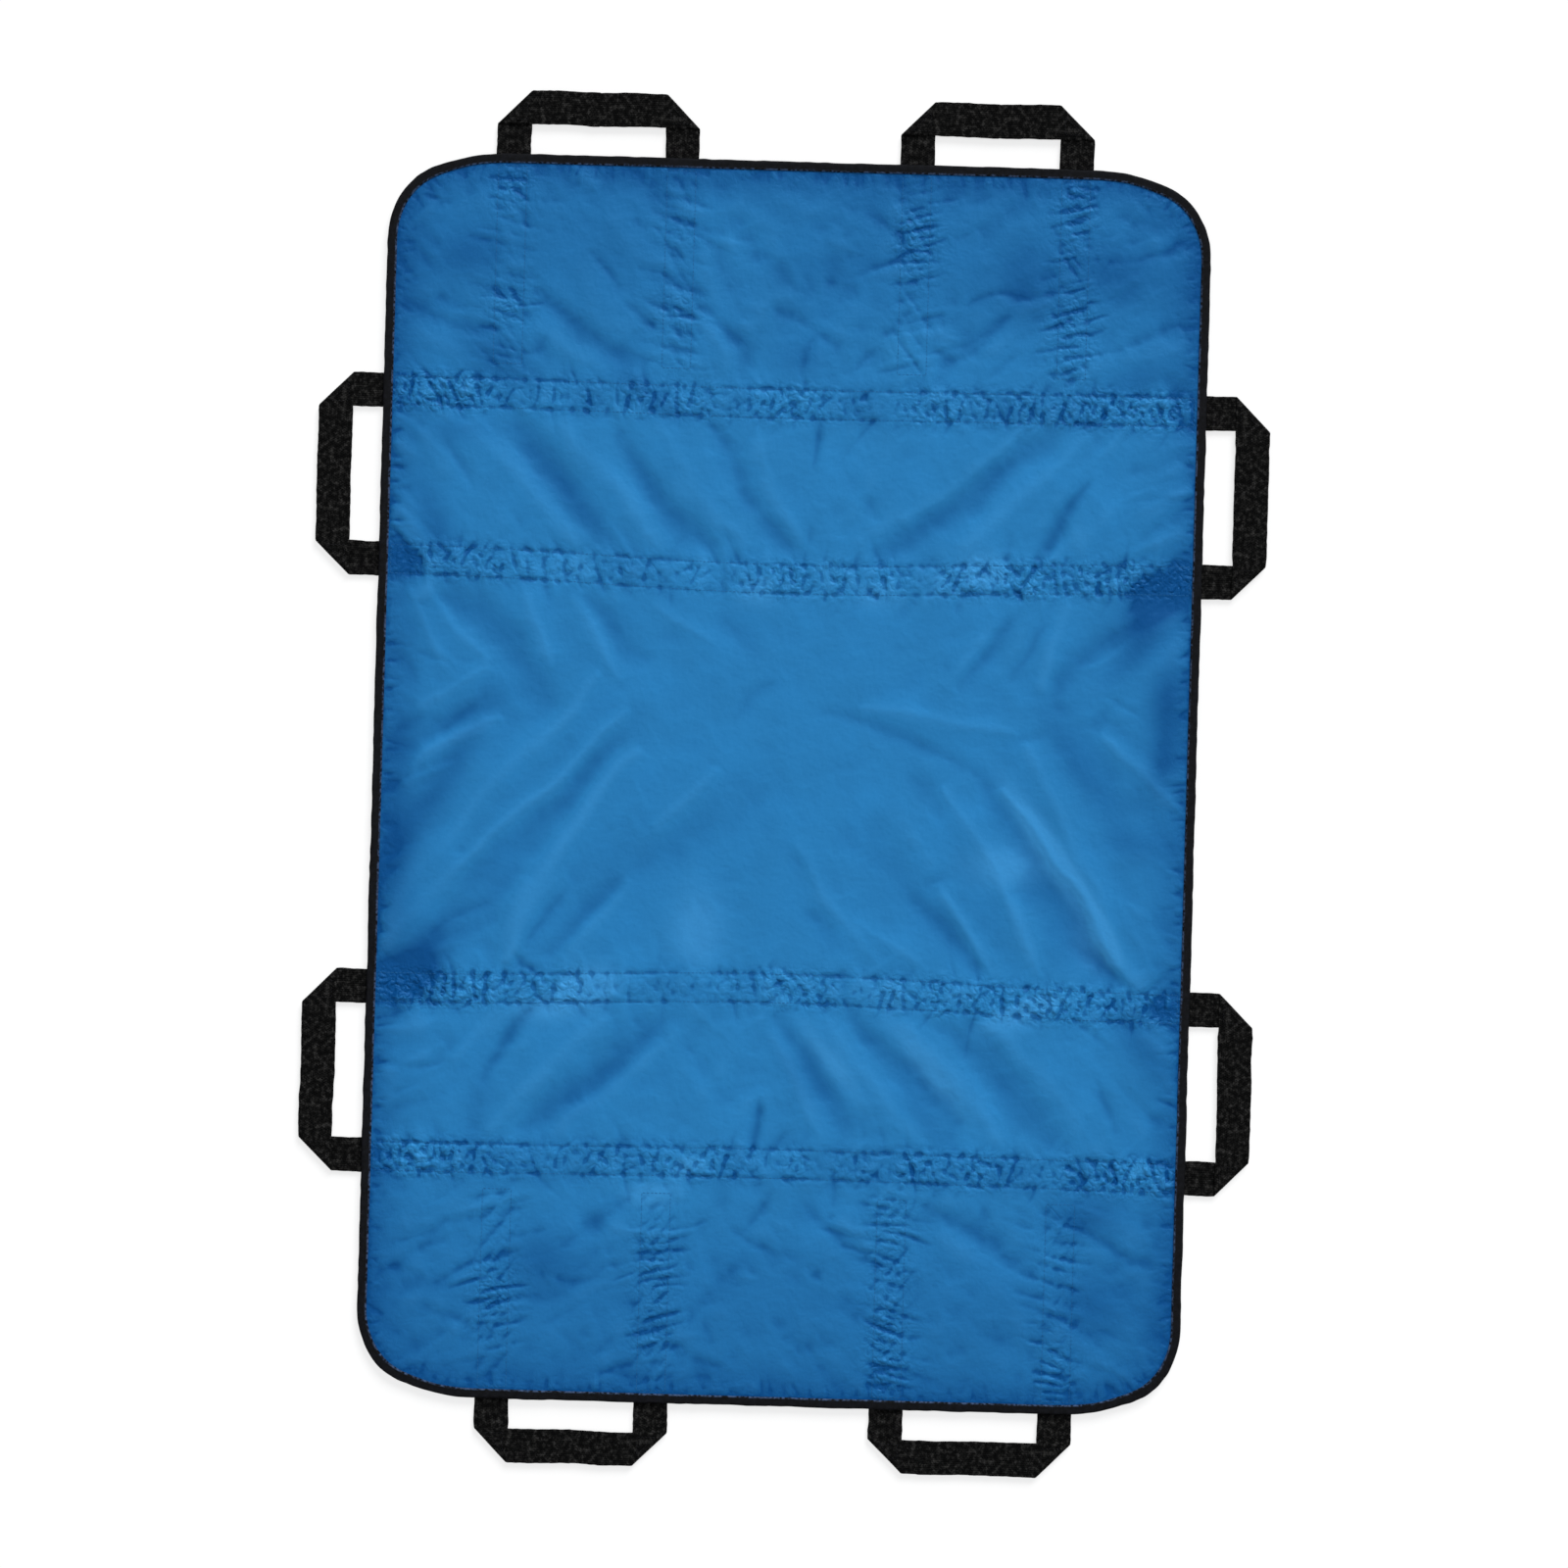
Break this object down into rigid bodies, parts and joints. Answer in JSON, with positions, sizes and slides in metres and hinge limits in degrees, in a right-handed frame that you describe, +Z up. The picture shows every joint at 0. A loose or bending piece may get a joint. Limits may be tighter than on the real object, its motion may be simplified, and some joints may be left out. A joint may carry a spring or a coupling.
{
  "type": "patient positioning pad",
  "caption": "Thin padded transfer sheet with bound edges, sewn-on webbing and handle loops on all four sides, for sliding or lifting a lying person.",
  "frame": {"origin": "middle of the pad on the plane it rests on, the underside of its webbing", "axes": "+Z up out of the blue face, +Y towards the head end, +X to the right when seen from above with the head end up"},
  "size_m": [1.0002, 1.4422, 0.0079],
  "materials": {
    "face_nylon": "slightly shiny plain-weave nylon, wrinkled",
    "back_nylon": "slightly shiny plain-weave nylon",
    "soaker_felt": "soft needle-punched felt",
    "barrier_film": "smooth coated knit",
    "binding_tape": "ribbed woven tape",
    "black_webbing": "coarse woven webbing",
    "black_thread": "twisted polyester thread",
    "blue_thread": "twisted polyester thread"
  },
  "bodies": {
    "head_half": {"head_face_sheet": "face_nylon", "head_absorbent_core": "soaker_felt", "head_waterproof_membrane": "barrier_film", "head_back_sheet": "back_nylon", "head_edge_binding": "binding_tape", "head_binding_stitching": "black_thread", "head_outer_cross_strap": "black_webbing", "head_inner_cross_strap": "black_webbing", "head_left_end_tails": "black_webbing", "head_right_end_tails": "black_webbing", "head_strap_stitching": "blue_thread"},
    "foot_half": {"foot_face_sheet": "face_nylon", "foot_absorbent_core": "soaker_felt", "foot_waterproof_membrane": "barrier_film", "foot_back_sheet": "back_nylon", "foot_edge_binding": "binding_tape", "foot_binding_stitching": "black_thread", "foot_outer_cross_strap": "black_webbing", "foot_inner_cross_strap": "black_webbing", "foot_left_end_tails": "black_webbing", "foot_right_end_tails": "black_webbing", "foot_strap_stitching": "blue_thread"},
    "head_left_end_handle": {"head_left_end_handle": "black_webbing", "head_left_end_handle_tacks": "black_thread"},
    "head_right_end_handle": {"head_right_end_handle": "black_webbing", "head_right_end_handle_tacks": "black_thread"},
    "head_left_side_handle": {"head_left_side_handle": "black_webbing", "head_left_side_handle_tacks": "black_thread"},
    "head_right_side_handle": {"head_right_side_handle": "black_webbing", "head_right_side_handle_tacks": "black_thread"},
    "foot_left_end_handle": {"foot_left_end_handle": "black_webbing", "foot_left_end_handle_tacks": "black_thread"},
    "foot_right_end_handle": {"foot_right_end_handle": "black_webbing", "foot_right_end_handle_tacks": "black_thread"},
    "foot_left_side_handle": {"foot_left_side_handle": "black_webbing", "foot_left_side_handle_tacks": "black_thread"},
    "foot_right_side_handle": {"foot_right_side_handle": "black_webbing", "foot_right_side_handle_tacks": "black_thread"}
  },
  "joints": [
    {"name": "pad_fold", "type": "hinge", "parent": "head_half", "child": "foot_half", "pos_m": [0, 0, 0.01], "axis": [-1, 0, 0], "range_deg": [0, 175]},
    {"name": "head_left_end_handle_swing", "type": "hinge", "parent": "head_half", "child": "head_left_end_handle", "pos_m": [-0.214, 0.6542, 0.001], "axis": [-1, 0, 0], "range_deg": [-90, 90]},
    {"name": "head_right_end_handle_swing", "type": "hinge", "parent": "head_half", "child": "head_right_end_handle", "pos_m": [0.205, 0.6542, 0.001], "axis": [-1, 0, 0], "range_deg": [-90, 90]},
    {"name": "head_left_side_handle_swing", "type": "hinge", "parent": "head_half", "child": "head_left_side_handle", "pos_m": [-0.4332, 0.313, 0.001], "axis": [0, -1, 0], "range_deg": [-90, 90]},
    {"name": "head_right_side_handle_swing", "type": "hinge", "parent": "head_half", "child": "head_right_side_handle", "pos_m": [0.4332, 0.313, 0.001], "axis": [0, 1, 0], "range_deg": [-90, 90]},
    {"name": "foot_left_end_handle_swing", "type": "hinge", "parent": "foot_half", "child": "foot_left_end_handle", "pos_m": [-0.205, -0.6542, 0.001], "axis": [1, 0, 0], "range_deg": [-90, 90]},
    {"name": "foot_right_end_handle_swing", "type": "hinge", "parent": "foot_half", "child": "foot_right_end_handle", "pos_m": [0.214, -0.6542, 0.001], "axis": [1, 0, 0], "range_deg": [-90, 90]},
    {"name": "foot_left_side_handle_swing", "type": "hinge", "parent": "foot_half", "child": "foot_left_side_handle", "pos_m": [-0.4332, -0.313, 0.001], "axis": [0, -1, 0], "range_deg": [-90, 90]},
    {"name": "foot_right_side_handle_swing", "type": "hinge", "parent": "foot_half", "child": "foot_right_side_handle", "pos_m": [0.4332, -0.313, 0.001], "axis": [0, 1, 0], "range_deg": [-90, 90]}
  ]
}
